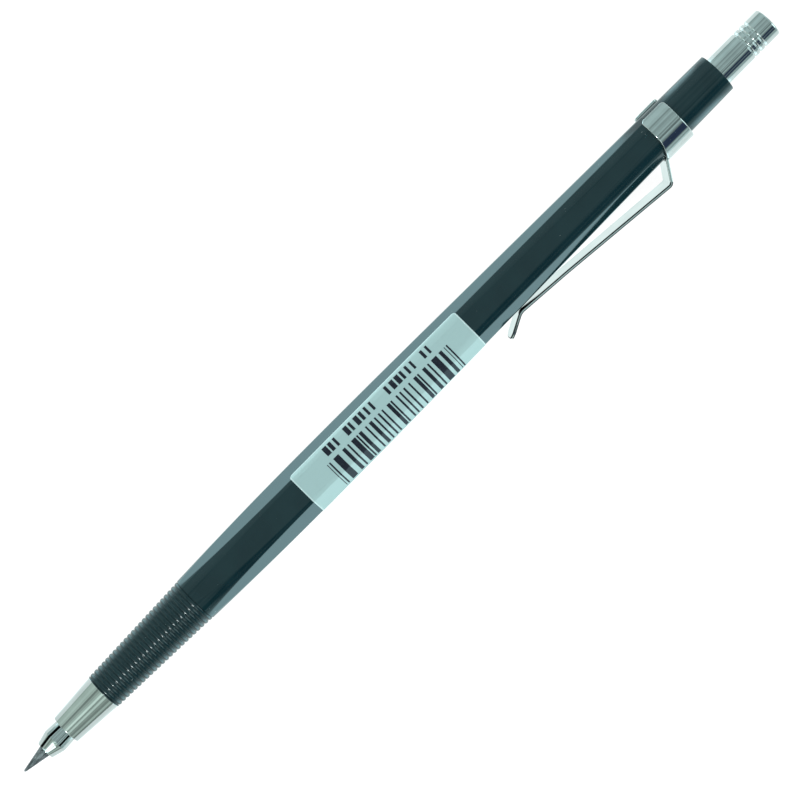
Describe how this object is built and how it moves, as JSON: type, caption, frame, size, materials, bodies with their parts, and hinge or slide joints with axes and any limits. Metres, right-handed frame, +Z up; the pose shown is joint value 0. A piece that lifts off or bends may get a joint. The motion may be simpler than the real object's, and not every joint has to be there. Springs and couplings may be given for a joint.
{
  "type": "lead holder",
  "caption": "Clutch lead holder for drafting: faceted barrel with a ringed grip, chromed nose and collet, sprung push button and a pocket clip.",
  "frame": {"origin": "on the barrel's lower flat, under the long axis, at the middle of the overall length from lead point to button end", "axes": "+X along the long axis towards the push button, +Z up, away from the surface it lies on; the clip's arm is on the -Y side"},
  "size_m": [0.15, 0.0109, 0.0077],
  "materials": {
    "green_plastic": "glossy moulded plastic, dark green",
    "chrome": "bright chrome plate with fine turning marks",
    "clip_chrome": "bright chrome plate on sheet steel",
    "tube_steel": "drawn steel tube, satin",
    "spring_steel": "drawn wire",
    "blade_steel": "ground edge",
    "brass": "turned brass",
    "graphite": "sharpened graphite and clay lead, slight sheen",
    "label_paper": null
  },
  "bodies": {
    "barrel": {"barrel": "green_plastic", "nose_sleeve": "chrome", "label": "label_paper", "return_spring": "spring_steel"},
    "carriage": {"collet_base": "chrome", "lead_tube": "tube_steel", "spring_collar": "brass"},
    "jaw_1": {"collet_jaw_1": "chrome"},
    "jaw_2": {"collet_jaw_2": "chrome"},
    "jaw_3": {"collet_jaw_3": "chrome"},
    "lead": {"lead": "graphite"},
    "push_button": {"push_button": "chrome", "pointer_body": "brass", "pointer_blades": "blade_steel"},
    "clip": {"clip_band": "clip_chrome"},
    "clip_arm": {"clip_arm": "clip_chrome"}
  },
  "joints": [
    {"name": "press", "type": "slide", "parent": "barrel", "child": "carriage", "axis": [-1, 0, 0], "range_m": [0, 0.0045], "stiffness_N_per_m": 600, "springref_m": -0.004, "deforming": ["return_spring"]},
    {"name": "jaw_1_open", "type": "hinge", "parent": "carriage", "child": "jaw_1", "pos_m": [-0.053, -0.00061, 0.00472], "axis": [0, 0.8746, 0.4848], "range_deg": [0, 1.5]},
    {"name": "jaw_2_open", "type": "hinge", "parent": "carriage", "child": "jaw_2", "pos_m": [-0.053, -0.00065, 0.00254], "axis": [0, -0.8572, 0.515], "range_deg": [0, 1.5]},
    {"name": "jaw_3_open", "type": "hinge", "parent": "carriage", "child": "jaw_3", "pos_m": [-0.053, 0.00126, 0.0036], "axis": [0, -0.0175, -0.9998], "range_deg": [0, 1.5]},
    {"name": "lead_feed", "type": "slide", "parent": "carriage", "child": "lead", "axis": [-1, 0, 0], "range_m": [-0.008, 0.03]},
    {"name": "button_pull", "type": "slide", "parent": "carriage", "child": "push_button", "axis": [1, 0, 0], "range_m": [0, 0.012]},
    {"name": "clip_swivel", "type": "hinge", "parent": "barrel", "child": "clip", "pos_m": [0.0539, 0, 0.00362], "axis": [1, 0, 0], "continuous": true},
    {"name": "clip_flex", "type": "hinge", "parent": "clip", "child": "clip_arm", "pos_m": [0.05036, -0.00349, 0.0026], "axis": [0, -0.279, 0.9603], "range_deg": [0, 4], "stiffness_Nm_per_rad": 0.5, "springref_deg": -2.86}
  ],
  "couplings": [
    {"joint": "jaw_1_open", "follows": "press", "rad_per_m": 5.8},
    {"joint": "jaw_2_open", "follows": "press", "rad_per_m": 5.8},
    {"joint": "jaw_3_open", "follows": "press", "rad_per_m": 5.8}
  ]
}
